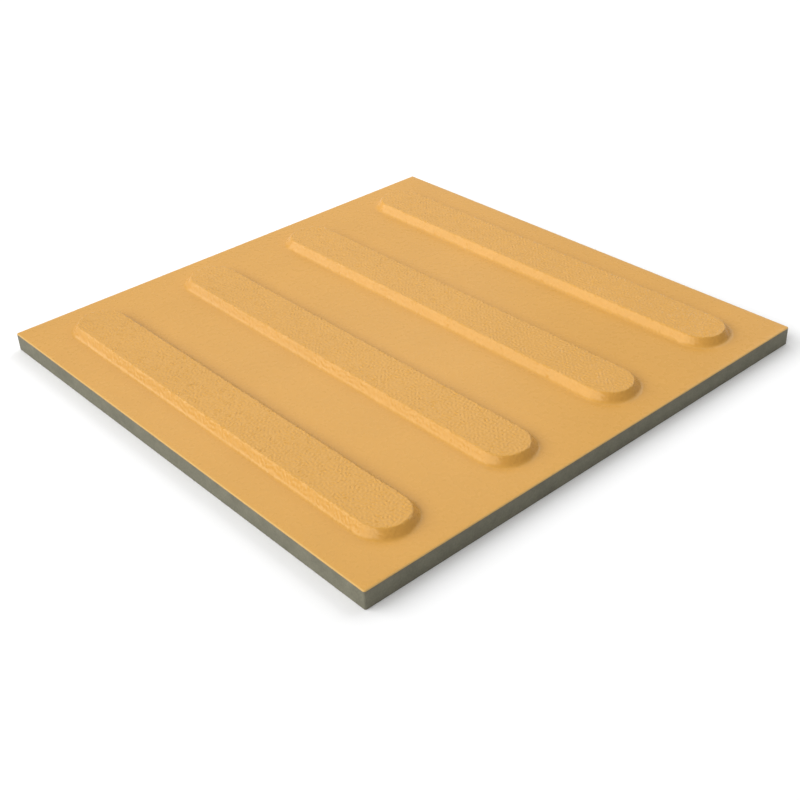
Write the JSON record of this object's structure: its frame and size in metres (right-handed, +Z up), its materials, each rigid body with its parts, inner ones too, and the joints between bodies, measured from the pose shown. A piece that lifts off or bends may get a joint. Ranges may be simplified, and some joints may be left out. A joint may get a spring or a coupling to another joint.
{
  "type": "tactile paving slab",
  "caption": "Thin square ceramic paving slab with raised round-ended bars on its yellow face, which a foot or a cane follows as a guiding path.",
  "frame": {"origin": "middle of the underside, on the plane that lies on the bedding", "axes": "+Z up out of the walking face, X along the bars, Y across them"},
  "size_m": [0.3, 0.3, 0.0152],
  "materials": {
    "slab": "matt yellow fired face, leather-grained on the bars, over a bare olive-grey pressed body at the edges and underside"
  },
  "bodies": {
    "root": {"paving_slab": "slab"}
  },
  "joints": []
}
